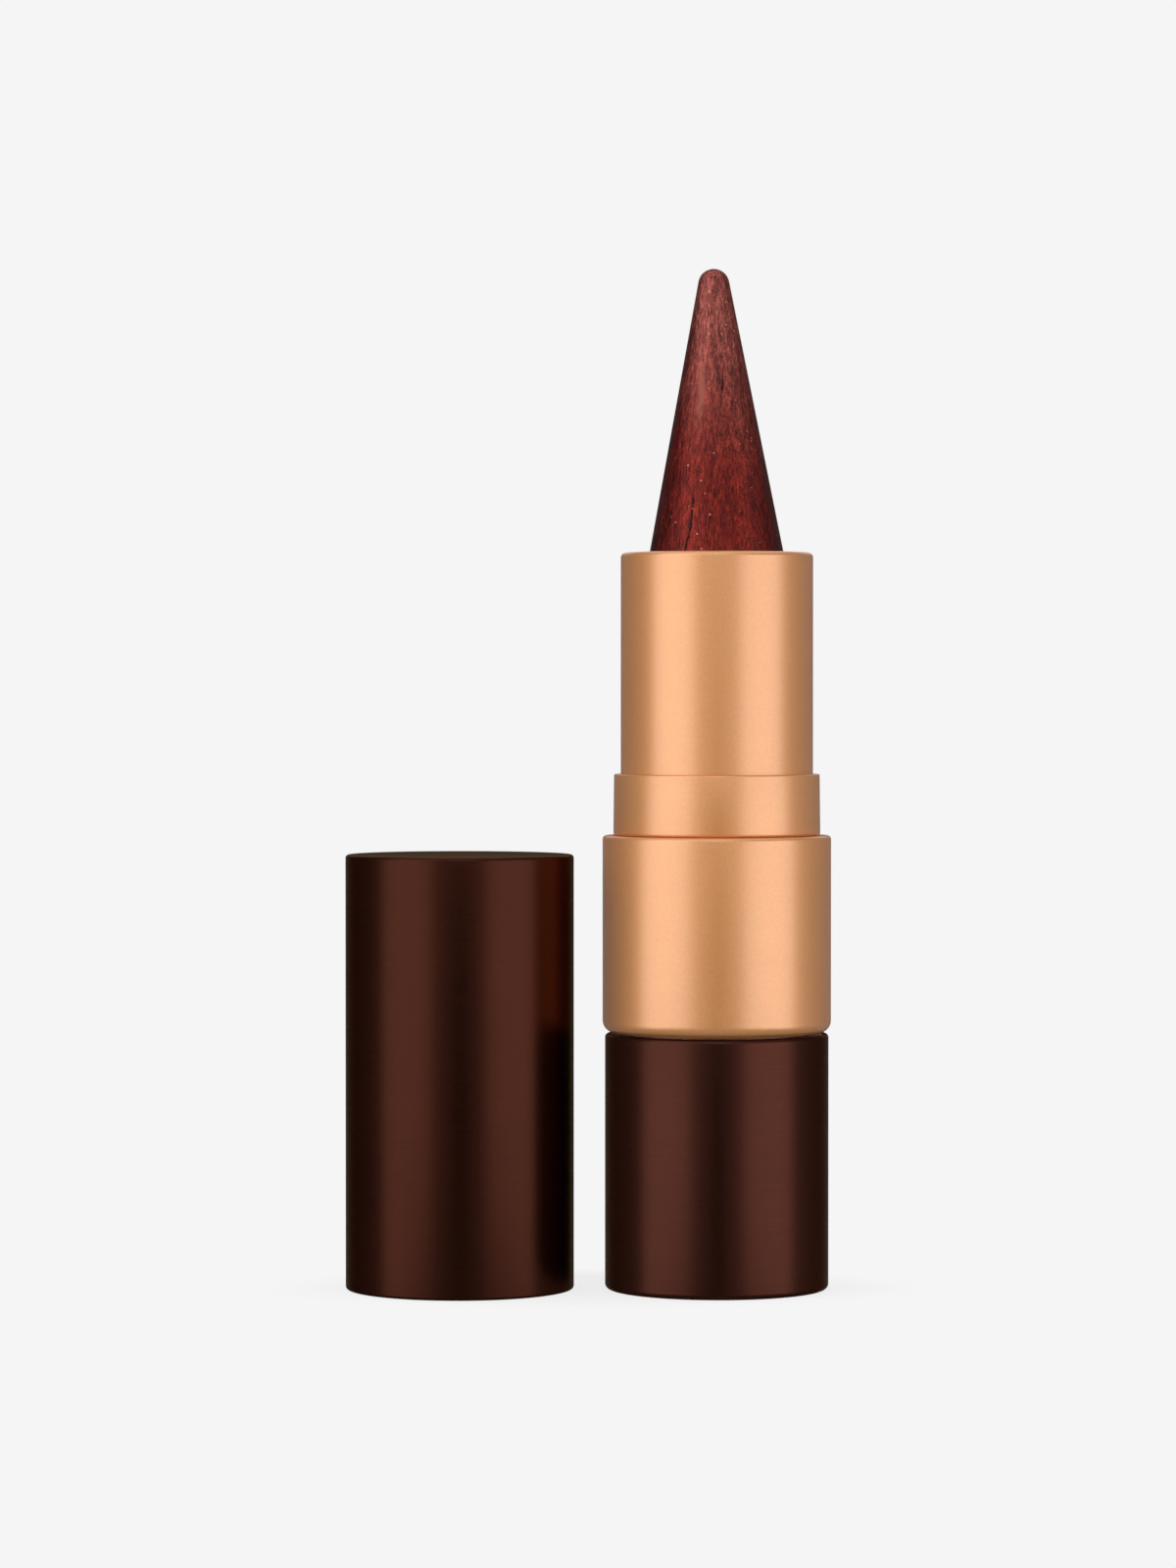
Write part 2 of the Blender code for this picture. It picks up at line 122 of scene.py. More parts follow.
# Background: full white where it is seen, mirrored or looked through to, and a weaker light on
# the set itself
fill_strength = 0.75
world = bpy.data.worlds.new("white_surround")
world.use_nodes = True
world.node_tree.nodes.clear()
scene.world = world
ray = add_node(world, "LightPath").outputs
seen = add_node(world, "Math", {0: ray["Is Camera Ray"], 1: ray["Is Glossy Ray"]}, operation="MAXIMUM")
shown = add_node(world, "Math", {0: seen.outputs[0], 1: ray["Is Transmission Ray"]}, operation="MAXIMUM")
fill = add_node(world, "Background", {"Color": linear(white_ground), "Strength": fill_strength})
ground = add_node(world, "Background", {"Color": linear(white_ground), "Strength": 1.0})
both = add_node(world, "MixShader", {0: shown.outputs[0], 1: fill.outputs[0], 2: ground.outputs[0]})
add_node(world, "OutputWorld", {"Surface": both.outputs[0]})

# Matt white table: its own colour near the object, where it takes the shadow, and the
# background's light further out. Mirrored rays pass through it, because in the photograph the
# feet of the shells mirror no pale ground.
table_half_length = 32 * mm
table_half_width = 16 * mm
fade_start = 0.60
fade_end = 0.97
table_glow = 0.855
table_white = bpy.data.materials.new("matt_white_table")
table_white.use_nodes = True
table_white.node_tree.nodes.clear()
flat = add_node(table_white, "TexCoord").outputs["Object"]
oval = add_node(table_white, "Mapping", {"Vector": flat, "Location": (-camera_side / table_half_length, 0, 0),
                                         "Scale": (1 / table_half_length, 1 / table_half_width, 1)})
reach = add_node(table_white, "VectorMath", {0: oval.outputs[0]}, operation="LENGTH").outputs["Value"]
fade = add_node(table_white, "MapRange", {"Value": reach, "From Min": fade_start, "From Max": fade_end},
                interpolation_type="SMOOTHSTEP")
matt = add_node(table_white, "BsdfDiffuse", {"Color": linear("7c7c7c")})
glow = add_node(table_white, "Emission", {"Color": linear(white_ground), "Strength": table_glow})
near = add_node(table_white, "AddShader", {0: matt.outputs[0], 1: glow.outputs[0]})
far = add_node(table_white, "Emission", {"Color": linear(white_ground), "Strength": 1.0})
top = add_node(table_white, "MixShader", {0: fade.outputs[0], 1: near.outputs[0], 2: far.outputs[0]})
add_node(table_white, "OutputMaterial", {"Surface": top.outputs[0]})

bpy.ops.object.select_all(action="DESELECT")
bpy.ops.mesh.primitive_circle_add(vertices=96, radius=1, fill_type="NGON", location=(camera_side, 0, 0))
table = bpy.context.object
table.scale = (table_half_length, table_half_width, 1)
bpy.ops.object.transform_apply(location=True, rotation=False, scale=True)
table.name = table.data.name = "table"
table.data.materials.append(table_white)
table.visible_glossy = False

# Card: matt paper in four shades, kept out of the picture and seen only in the metal
card_roughness = 0.9
black_card = bpy.data.materials.new("matt_black_card")
grey_card = bpy.data.materials.new("matt_grey_card")
pale_card = bpy.data.materials.new("matt_pale_grey_card")
white_card = bpy.data.materials.new("matt_white_card")
for card_paper, shade in ((black_card, "1c1c1c"), (grey_card, "a0a0a0"), (pale_card, "b8b8b8"),
                          (white_card, "f4f4f4")):
    card_paper.use_nodes = True
    shader = card_paper.node_tree.nodes["Principled BSDF"]
    shader.inputs["Base Color"].default_value = linear(shade)
    shader.inputs["Roughness"].default_value = card_roughness

# Each has its turn in degrees, its distance, width, height and the height of its middle in
# metres, and its light or its card
hang_soft_box("soft_box_left", -55.5, 0.50, 0.49, 1.10, 0.05, 0.86)
hang_soft_box("soft_box_right", 54, 0.50, 0.52, 0.77, -0.115, 0.91)
hang_soft_box("soft_box_above", 0, 0.57, 0.26, 0.44, 0.37, 0.72)
hang_card("card_above_right", 53, 0.50, 0.54, 0.33, 0.435, black_card)
hang_card("card_at_camera", 0, 0.56, 0.12, 0.65, -0.175, black_card)
hang_card("card_front_left", -14.3, 0.60, 0.225, 1.10, 0.05, white_card)
hang_card("card_front_right", 14.3, 0.60, 0.225, 1.10, 0.05, white_card)
hang_card("card_left", -118, 0.50, 0.70, 1.10, 0.05, grey_card)
hang_card("card_right", 118, 0.50, 0.70, 1.10, 0.05, pale_card)
hang_card("card_behind", 180, 0.50, 0.60, 0.67, -0.165, grey_card)
hang_card("card_behind_middle", 180, 0.48, 0.22, 0.67, -0.165, black_card)
hang_card("card_below", 0, 0.10, 0.80, 0.90, -0.15, grey_card, lean=0)

# Base shell: a deep-drawn aluminium cup, closed below, that is held and turned to wind the
# bullet out. It is blasted, brushed round on a lathe and anodised dark brown. The words low
# on its front are left off, so that place is bare.
around = 160
tolerance = 0.01 * mm
smooth_below = math.radians(35)
metal_wall = 0.4 * mm
drawn_edge_radius = 0.08 * mm


def add_rod(name, radius, bottom, top, centre=0.0):
    """Add a plain round rod, closed at both ends, standing on its axis."""
    bpy.ops.object.select_all(action="DESELECT")
    bpy.ops.mesh.primitive_cylinder_add(vertices=around, radius=radius, depth=top - bottom,
                                        end_fill_type="NGON", location=(centre, 0, (top + bottom) / 2))
    rod = bpy.context.object
    rod.name = rod.data.name = name
    bpy.ops.object.transform_apply(location=True, rotation=False, scale=False)
    return rod


def pick(kind, test):
    """Select, in edit mode, only the faces or edges of which every corner passes a test."""
    if bpy.context.mode == "OBJECT":
        bpy.ops.object.mode_set(mode="EDIT")
    bpy.ops.mesh.select_mode(type=kind)
    bpy.ops.mesh.select_all(action="DESELECT")
    mesh = bmesh.from_edit_mesh(bpy.context.object.data)
    for part in (mesh.faces if kind == "FACE" else mesh.edges):
        if all(test(corner.co) for corner in part.verts):
            part.select_set(True)
    bmesh.update_edit_mesh(bpy.context.object.data)


def on_end(height):
    """A test for corners that lie at one height."""
    return lambda corner: abs(corner.z - height) < tolerance


def on_ring(radius, height, centre=0.0):
    """A test for corners that lie on one ring about the axis."""
    return lambda corner: (abs(corner.z - height) < tolerance
                           and abs(math.hypot(corner.x - centre, corner.y) - radius) < tolerance)


def round_off(radius, steps, test):
    """Round the edges that pass a test."""
    pick("EDGE", test)
    bpy.ops.mesh.bevel(offset=radius, offset_type="OFFSET", segments=steps, affect="EDGES")


def close_up(piece, material):
    """Leave edit mode with the faces turned outwards, shade the curves smooth and give the finish."""
    if bpy.context.mode != "OBJECT":
        bpy.ops.mesh.select_all(action="SELECT")
        bpy.ops.mesh.normals_make_consistent(inside=False)
        bpy.ops.object.mode_set(mode="OBJECT")
    bpy.ops.object.shade_smooth_by_angle(angle=smooth_below)
    piece.data.materials.clear()
    piece.data.materials.append(material)


def brushed_anodised(name, colour, deep, edge, metallic, roughness, clear):
    """Aluminium brushed round its axis, dyed and sealed: broad soft lights crossed by fine level lines."""
    metal = bpy.data.materials.new(name)
    metal.use_nodes = True
    here = add_node(metal, "TexCoord").outputs["Object"]
    # Brush lines. Real ones are finer than the render shows.
    line_length = 8 * mm
    line_gap = 0.15 * mm
    along = add_node(metal, "Mapping", {"Vector": here,
                                        "Scale": (1 / line_length, 1 / line_length, 1 / line_gap)})
    lines = add_node(metal, "TexNoise", {"Vector": along.outputs[0], "Scale": 1.0, "Detail": 3.0,
                                         "Roughness": 0.6})
    # Blasted grain, and slow unevenness of the dye
    grain_size = 0.2 * mm
    cloud_size = 7 * mm
    grain = add_node(metal, "TexNoise", {"Vector": here, "Scale": 1 / grain_size, "Detail": 2.0})
    cloud = add_node(metal, "TexNoise", {"Vector": here, "Scale": 1 / cloud_size, "Detail": 2.0})
    # In a Mix node of colours, sockets 6 and 7 take the two colours and socket 2 gives the result
    tone = add_node(metal, "Mix", {0: cloud.outputs["Fac"], 6: linear(deep), 7: linear(colour)},
                    data_type="RGBA")
    speck = add_node(metal, "MapRange", {"Value": grain.outputs["Fac"], "From Min": 0.3, "From Max": 0.7,
                                         "To Min": 0.95, "To Max": 1.05})
    dyed = add_node(metal, "VectorMath", {0: tone.outputs[2], "Scale": speck.outputs[0]}, operation="SCALE")
    dull = add_node(metal, "MapRange", {"Value": lines.outputs["Fac"], "From Min": 0.25, "From Max": 0.75,
                                        "To Min": roughness - 0.05, "To Max": roughness + 0.05})
    height = add_node(metal, "Math", {0: grain.outputs["Fac"], 1: 0.15, 2: lines.outputs["Fac"]},
                      operation="MULTIPLY_ADD")
    relief = add_node(metal, "Bump", {"Height": height.outputs[0], "Distance": 0.004 * mm, "Strength": 1.0})
    # Sealed oxide as a clear coat, its IOR set above aluminium oxide's 1.77 to match the sheen
    shader = metal.node_tree.nodes["Principled BSDF"]
    shader.inputs["Metallic"].default_value = metallic
    shader.inputs["Coat Weight"].default_value = clear
    shader.inputs["Coat Roughness"].default_value = 0.30
    shader.inputs["Coat IOR"].default_value = 2.05
    shader.inputs["Specular Tint"].default_value = linear(edge)
    for source, socket in ((dyed, "Base Color"), (dull, "Roughness"), (relief, "Normal")):
        metal.node_tree.links.new(source.outputs[0], shader.inputs[socket])
    return metal


dark_metal = brushed_anodised("dark_brown_brushed_anodised_aluminium", colour="441e12", deep="3e1b10",
                              edge="c4b4a4", metallic=1.0, roughness=0.31, clear=0.06)

base_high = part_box("base_shell")[1]
base_radius = base_high.x
base_top = base_high.z
base_foot_radius = 0.45 * mm
base_rim_radius = 0.32 * mm

base_shell = add_rod("base_shell_drawn", base_radius, 0, base_top)
pick("FACE", on_end(base_top))
bpy.ops.mesh.inset(thickness=metal_wall)
bpy.ops.mesh.extrude_region_move(TRANSFORM_OT_translate={"value": (0, 0, metal_wall - base_top)})
round_off(base_foot_radius, 6, on_ring(base_radius, 0))
round_off(base_rim_radius, 6, on_ring(base_radius, base_top))
round_off(drawn_edge_radius, 2, on_ring(base_radius - metal_wall, base_top))
close_up(base_shell, dark_metal)
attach(base_shell, "base")
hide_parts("base_shell")

# Collar shell: a drawn aluminium band over the upper half of the case, curled in at its foot
# and at its top, brushed round and anodised copper. The dyed oxide scatters part of the light,
# so it mirrors less than the dark shells. Its foot comes down to a seam as fine as the
# photograph's, a little below the CAD piece's.
copper_metal = brushed_anodised("copper_brushed_anodised_aluminium", colour="eb9f57", deep="e79a52",
                                edge="c87a44", metallic=0.58, roughness=0.45, clear=1.0)

collar_low, collar_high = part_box("collar_shell")
collar_radius = collar_high.x
collar_drop = 0.12 * mm
collar_foot = collar_low.z - collar_drop
collar_top = collar_high.z
collar_foot_radius = 1.0 * mm
collar_top_radius = 0.3 * mm
collar_foot_hole = 8.12 * mm
collar_top_hole = 8.52 * mm


def open_end(height, wall):
    """Turn the end of a rod into a level rim with a round hole."""
    pick("FACE", on_end(height))
    bpy.ops.mesh.inset(thickness=wall)
    bpy.ops.mesh.delete(type="FACE")


def thicken(piece, wall):
    """Give a skin its wall, inwards, and apply it."""
    bpy.ops.object.mode_set(mode="OBJECT")
    step = piece.modifiers.new("wall", "SOLIDIFY")
    step.thickness = wall
    step.offset = -1
    step.use_even_offset = True
    bpy.ops.object.modifier_apply(modifier=step.name)


collar_shell = add_rod("collar_shell_drawn", collar_radius, collar_foot, collar_top)
open_end(collar_top, collar_radius - collar_top_hole)
open_end(collar_foot, collar_radius - collar_foot_hole)
thicken(collar_shell, metal_wall)
round_off(collar_foot_radius, 9, on_ring(collar_radius, collar_foot))
round_off(collar_top_radius, 5, on_ring(collar_radius, collar_top))
round_off(collar_foot_radius - metal_wall, 5, on_ring(collar_radius - metal_wall, collar_foot + metal_wall))
round_off(drawn_edge_radius, 2, on_ring(collar_top_hole, collar_top))
close_up(collar_shell, copper_metal)
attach(collar_shell, "upper")
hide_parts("collar_shell")

# Snap ring: an aluminium ring that the cap's liner grips. Its neck goes down inside the
# collar, its foot is rounded where it meets the collar, and it is anodised as the collar is.
ring_low, ring_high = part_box("snap_ring")
ring_foot_outer = ring_high.x
ring_top_outer = 8.56 * mm
ring_hole = 8.06 * mm
ring_neck = 8.46 * mm
ring_foot = collar_top
ring_top = ring_high.z
ring_edge_radius = 0.12 * mm
ring_foot_curve = 0.3 * mm
ring_foot_steps = 6


def grow_end(rise, factor, height, step_aside=0.0, middle=0.0):
    """Extrude the selected end along the axis, then widen or narrow it about its own middle."""
    bpy.ops.mesh.extrude_region_move(TRANSFORM_OT_translate={"value": (step_aside, 0, rise)})
    bpy.ops.transform.resize(value=(factor, factor, 1), center_override=(middle, 0, height))


snap_ring = add_rod("snap_ring_turned", ring_neck, ring_low.z, ring_foot)
pick("FACE", on_end(ring_foot))
radius = ring_neck
level = ring_foot
for step in range(ring_foot_steps):
    turn = math.radians(90 * (step + 1) / ring_foot_steps)
    wider = ring_neck + (ring_foot_outer - ring_neck) * math.sin(turn)
    rise = ring_foot + ring_foot_curve * (1 - math.cos(turn)) - level
    level += rise
    grow_end(rise, wider / radius, level)
    radius = wider
grow_end(ring_top - level, ring_top_outer / ring_foot_outer, ring_top)
open_end(ring_top, ring_top_outer - ring_hole)
open_end(ring_low.z, ring_neck - ring_hole)
pick("EDGE", lambda corner: abs(math.hypot(corner.x, corner.y) - ring_hole) < tolerance)
bpy.ops.mesh.bridge_edge_loops()
round_off(ring_edge_radius, 4, on_ring(ring_top_outer, ring_top))
close_up(snap_ring, copper_metal)
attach(snap_ring, "upper")
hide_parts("snap_ring")

# Cover sleeve: a drawn aluminium tube round the swivel, its mouth rolled in so that the
# bullet comes up through a neat round edge. It has the collar's finish.
sleeve_low, sleeve_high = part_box("cover_sleeve")
sleeve_radius = sleeve_high.x
sleeve_top = sleeve_high.z
mouth_hole = 6.61 * mm
mouth_radius = 0.4 * mm
mouth_inner_radius = 0.12 * mm

cover_sleeve = add_rod("cover_sleeve_drawn", sleeve_radius, sleeve_low.z, sleeve_top)
open_end(sleeve_top, sleeve_radius - mouth_hole)
pick("FACE", on_end(sleeve_low.z))
bpy.ops.mesh.delete(type="FACE")
thicken(cover_sleeve, metal_wall)
round_off(mouth_radius, 7, on_ring(sleeve_radius, sleeve_top))
round_off(mouth_inner_radius, 3, on_ring(mouth_hole, sleeve_top))
close_up(cover_sleeve, copper_metal)
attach(cover_sleeve, "upper")
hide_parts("cover_sleeve")

# Bullet: a stick of eyeliner mass, waxes and oils with iron oxide and a little mica, poured
# into a cone-shaped mould and dropped into its cup. Its skin shows the mould's upright drag
# marks, a fine grain and some flecks of mica, and is paler towards the tip, partly from bloom and partly as
# painted light. A painted highlight lies on its left.
bullet_low, bullet_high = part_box("bullet")
bullet_radius = bullet_high.x
bullet_foot = bullet_low.z
bullet_tip = bullet_high.z
tip_radius = 1.3 * mm
cone_half_angle = math.radians(10.8)
tip_centre = bullet_tip - tip_radius
cone_end = tip_centre + tip_radius * math.sin(cone_half_angle)
cone_end_radius = tip_radius * math.cos(cone_half_angle)
shoulder = cone_end - (bullet_radius - cone_end_radius) / math.tan(cone_half_angle)
tip_lean = -0.28 * mm
cone_steps = 40
tip_steps = 10
groove_count = 6
groove_width = 0.72 * mm
groove_floor = 5.8 * mm
groove_top = bullet_foot + 8.06 * mm
groove_overrun = 1 * mm

wax = bpy.data.materials.new("moulded_wax_eyeliner_mass")
wax.use_nodes = True
here = add_node(wax, "TexCoord").outputs["Object"]
# Upright drag marks
drag_width = 0.5 * mm
drag_length = 6 * mm
upright = add_node(wax, "Mapping", {"Vector": here,
                                    "Scale": (1 / drag_width, 1 / drag_width, 1 / drag_length)})
drag = add_node(wax, "TexNoise", {"Vector": upright.outputs[0], "Scale": 1.0, "Detail": 4.0,
                                  "Roughness": 0.6})
# Grain of the pigment
grain_size = 0.2 * mm
grain = add_node(wax, "TexNoise", {"Vector": here, "Scale": 1 / grain_size, "Detail": 3.0,
                                   "Roughness": 0.7})
# Bloom and painted light: the skin pales over this length up to the tip, partly as bloom and partly as
# painted light, and sooner on the right as painted light
bloom_length = 19 * mm
toward_tip = add_node(wax, "VectorMath", {0: here, 1: (0.4, 0, 1)}, operation="DOT_PRODUCT").outputs["Value"]
bloom_and_painted_light = add_node(wax, "MapRange", {"Value": toward_tip, "From Min": bullet_tip - bloom_length,
                                   "From Max": bullet_tip, "To Min": 0.0, "To Max": 0.75},
                 interpolation_type="SMOOTHSTEP")
# Fine scratches in the skin
scratch_width = 0.14 * mm
scratch_length = 3 * mm
narrow = add_node(wax, "Mapping", {"Vector": here,
                                   "Scale": (1 / scratch_width, 1 / scratch_width, 1 / scratch_length)})
scratch = add_node(wax, "TexNoise", {"Vector": narrow.outputs[0], "Scale": 1.0, "Detail": 2.0})
# Marks with ragged edges, each with its middle and its half size in millimetres and its lean in
# degrees: a hairline crack low on the left of the front in two lengths, a nick right of the
# middle higher up, and a painted highlight, a pale patch on the left where the left soft box's light falls
mark_and_highlight_shapes = (((-2.20, -5.0, 64.3), (0.09, 1.5, 2.3), -6),
               ((-2.62, -5.0, 62.0), (0.08, 1.5, 0.8), -14),
               ((0.42, -2.7, 75.1), (0.13, 1.2, 0.85), -5),
               ((-1.42, -3.0, 74.6), (0.50, 1.3, 3.4), -5))
ragged = 0.12 * mm
swing = add_node(wax, "VectorMath", {0: scratch.outputs["Color"], 1: (0.5, 0.5, 0.5)}, operation="SUBTRACT")
frayed = add_node(wax, "VectorMath", {0: swing.outputs[0], "Scale": ragged}, operation="SCALE")
marks_and_highlight = []
for middle, size, lean in mark_and_highlight_shapes:
    tilt = math.radians(lean)
    away = add_node(wax, "VectorMath", {0: here, 1: [length * mm for length in middle]}, operation="SUBTRACT")
    away = add_node(wax, "VectorMath", {0: away.outputs[0], 1: frayed.outputs[0]}, operation="ADD")
    turned = add_node(wax, "VectorRotate", {"Vector": away.outputs[0], "Angle": tilt}, rotation_type="Y_AXIS")
    shrunk = add_node(wax, "VectorMath", {0: turned.outputs[0], 1: [length * mm for length in size]},
                      operation="DIVIDE")
    reach = add_node(wax, "VectorMath", {0: shrunk.outputs[0]}, operation="LENGTH").outputs["Value"]
    marks_and_highlight.append(add_node(wax, "MapRange", {"Value": reach, "From Min": 1.0, "From Max": 0.5}).outputs[0])
hollow = add_node(wax, "Math", {0: marks_and_highlight[0], 1: marks_and_highlight[1]}, operation="MAXIMUM")
hollow = add_node(wax, "Math", {0: hollow.outputs[0], 1: marks_and_highlight[2]}, operation="MAXIMUM")
streak = add_node(wax, "MapRange", {"Value": drag.outputs["Fac"], "From Min": 0.36, "From Max": 0.64})
red = add_node(wax, "Mix", {0: streak.outputs[0], 6: linear("56110b"), 7: linear("7e2016")},
               data_type="RGBA")
pale = add_node(wax, "Mix", {0: streak.outputs[0], 6: linear("8a4740"), 7: linear("ae645a")},
                data_type="RGBA")
# Paler towards the tip and on the right: bloom in part, painted light in part
mass = add_node(wax, "Mix", {0: bloom_and_painted_light.outputs[0], 6: red.outputs[2], 7: pale.outputs[2]}, data_type="RGBA")
speck = add_node(wax, "MapRange", {"Value": grain.outputs["Fac"], "From Min": 0.38, "From Max": 0.62,
                                   "To Min": 0.70, "To Max": 1.30})
lined = add_node(wax, "MapRange", {"Value": scratch.outputs["Fac"], "From Min": 0.36, "From Max": 0.64,
                                   "To Min": 0.55, "To Max": 1.45})
shade = add_node(wax, "Math", {0: speck.outputs[0], 1: lined.outputs[0]}, operation="MULTIPLY")
dark = add_node(wax, "MapRange", {"Value": hollow.outputs[0], "To Min": 1.0, "To Max": 0.18})
shade = add_node(wax, "Math", {0: shade.outputs[0], 1: dark.outputs[0]}, operation="MULTIPLY")
mottled = add_node(wax, "VectorMath", {0: mass.outputs[2], "Scale": shade.outputs[0]}, operation="SCALE")
# Mica: flecks of about 0.1 mm, in one cell out of seventeen
mica_cell = 0.35 * mm
cells = add_node(wax, "TexVoronoi", {"Vector": here, "Scale": 1 / mica_cell})
close = add_node(wax, "Math", {0: cells.outputs["Distance"], 1: 0.2}, operation="LESS_THAN")
chance = add_node(wax, "SeparateXYZ", {0: cells.outputs["Color"]})
chosen = add_node(wax, "Math", {0: chance.outputs["X"], 1: 0.94}, operation="GREATER_THAN")
fleck = add_node(wax, "Math", {0: close.outputs[0], 1: chosen.outputs[0]}, operation="MULTIPLY")
skin = add_node(wax, "Mix", {0: fleck.outputs[0], 6: mottled.outputs[0], 7: linear("d08a72")},
                data_type="RGBA")
# Painted highlight: the last shape, streaked, paints a pale patch of light into the skin's colour
painted_highlight = add_node(wax, "Math", {0: marks_and_highlight[3], 1: streak.outputs[0]}, operation="MULTIPLY")
skin = add_node(wax, "Mix", {0: painted_highlight.outputs[0], 6: skin.outputs[2], 7: linear("8e4e40")}, data_type="RGBA")
gloss = add_node(wax, "MapRange", {"Value": drag.outputs["Fac"], "From Min": 0.3, "From Max": 0.7,
                                   "To Min": 0.34, "To Max": 0.48})
height = add_node(wax, "Math", {0: grain.outputs["Fac"], 1: 0.5, 2: drag.outputs["Fac"]},
                  operation="MULTIPLY_ADD")
height = add_node(wax, "Math", {0: scratch.outputs["Fac"], 1: 0.8, 2: height.outputs[0]},
                  operation="MULTIPLY_ADD")
height = add_node(wax, "Math", {0: hollow.outputs[0], 1: -3.0, 2: height.outputs[0]},
                  operation="MULTIPLY_ADD")
relief = add_node(wax, "Bump", {"Height": height.outputs[0], "Distance": 0.05 * mm, "Strength": 1.0})
# Oily skin with mica in it: its soft lights take the mass's own red, as a metal's do
shader = wax.node_tree.nodes["Principled BSDF"]
shader.inputs["IOR"].default_value = 1.45
shader.inputs["Metallic"].default_value = 0.9
shader.inputs["Specular Tint"].default_value = linear("4a2a24")
shader.inputs["Coat Weight"].default_value = 0.25
shader.inputs["Coat Roughness"].default_value = 0.28
for source, socket in ((skin.outputs[2], "Base Color"), (gloss.outputs[0], "Roughness"),
                       (relief.outputs[0], "Normal"), (relief.outputs[0], "Coat Normal")):
    wax.node_tree.links.new(source, shader.inputs[socket])


def boxes_round(name, count, inner, outer, width, bottom, top, centre=0.0):
    """Stand upright boxes evenly round an axis, as one object."""
    bpy.ops.object.select_all(action="DESELECT")
    boxes = []
    for index in range(count):
        turn = math.tau * index / count
        reach = (inner + outer) / 2
        spot = (centre + reach * math.cos(turn), reach * math.sin(turn), (bottom + top) / 2)
        bpy.ops.mesh.primitive_cube_add(size=1, rotation=(0, 0, turn), location=spot,
                                        scale=(outer - inner, width, top - bottom))
        boxes.append(bpy.context.object)
    for box in boxes:
        box.select_set(True)
    bpy.ops.object.join()
    bpy.context.object.name = name
    return bpy.context.object


def combine(piece, tool, operation):
    """Cut a tool out of a piece, or join it on, and drop the tool."""
    bpy.ops.object.select_all(action="DESELECT")
    piece.select_set(True)
    bpy.context.view_layer.objects.active = piece
    step = piece.modifiers.new("combine", "BOOLEAN")
    step.operation = operation
    step.object = tool
    bpy.ops.object.modifier_apply(modifier=step.name)
    bpy.data.objects.remove(tool)


bullet = add_rod("bullet_moulded", bullet_radius, bullet_foot, shoulder)
pick("FACE", on_end(shoulder))
radius = bullet_radius
level = shoulder
aside = 0.0
for step in range(cone_steps + tip_steps):
    if step < cone_steps:
        narrower = bullet_radius + (cone_end_radius - bullet_radius) * (step + 1) / cone_steps
        rise = (cone_end - shoulder) / cone_steps
    else:
        turn = cone_half_angle + (math.pi / 2 - cone_half_angle) * (step + 1 - cone_steps) / (tip_steps + 1)
        narrower = tip_radius * math.cos(turn)
        rise = tip_centre + tip_radius * math.sin(turn) - level
    level += rise
    step_aside = tip_lean * rise / (bullet_tip - shoulder)
    aside += step_aside
    grow_end(rise, narrower / radius, level, step_aside, aside)
    radius = narrower
bpy.ops.mesh.extrude_region_move(TRANSFORM_OT_translate={"value": (0, 0, bullet_tip - level)})
bpy.ops.mesh.merge(type="CENTER")
close_up(bullet, wax)
grooves = boxes_round("groove_cutter", groove_count, groove_floor, bullet_radius + groove_overrun,
                      groove_width, bullet_foot - groove_overrun, groove_top)
combine(bullet, grooves, "DIFFERENCE")
bpy.ops.object.shade_smooth_by_angle(angle=smooth_below)
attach(bullet, "carrier")
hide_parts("bullet")

# Cap shell: a deep-drawn aluminium cup, open below, with a crisp top edge and a rounded rim.
# It has the base's finish in a slightly deeper dye. The upright word on its front is left
# off, so that place is bare.
cap_metal = brushed_anodised("deep_brown_brushed_anodised_aluminium", colour="3e190b", deep="381609",
                             edge="c4b49c", metallic=1.0, roughness=0.31, clear=0.05)

cap_low, cap_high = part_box("cap_shell")
cap_centre = (cap_low.x + cap_high.x) / 2
cap_radius = (cap_high.x - cap_low.x) / 2
cap_top = cap_high.z
cap_top_radius = 0.28 * mm
cap_rim_radius = 0.25 * mm

cap_shell = add_rod("cap_shell_drawn", cap_radius, 0, cap_top, cap_centre)
pick("FACE", on_end(0))
bpy.ops.mesh.inset(thickness=metal_wall)
bpy.ops.mesh.extrude_region_move(TRANSFORM_OT_translate={"value": (0, 0, cap_top - metal_wall)})
round_off(cap_top_radius, 5, on_ring(cap_radius, cap_top, cap_centre))
round_off(cap_rim_radius, 4, on_ring(cap_radius, 0, cap_centre))
round_off(drawn_edge_radius, 2, on_ring(cap_radius - metal_wall, 0, cap_centre))
close_up(cap_shell, cap_metal)
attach(cap_shell, "cap")
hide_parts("cap_shell")

# Cap liner: a cup of black polypropylene, injection moulded and pressed up into the cap shell.
# Eight low ribs near its mouth grip the snap ring, and the mouth's edges are rounded.


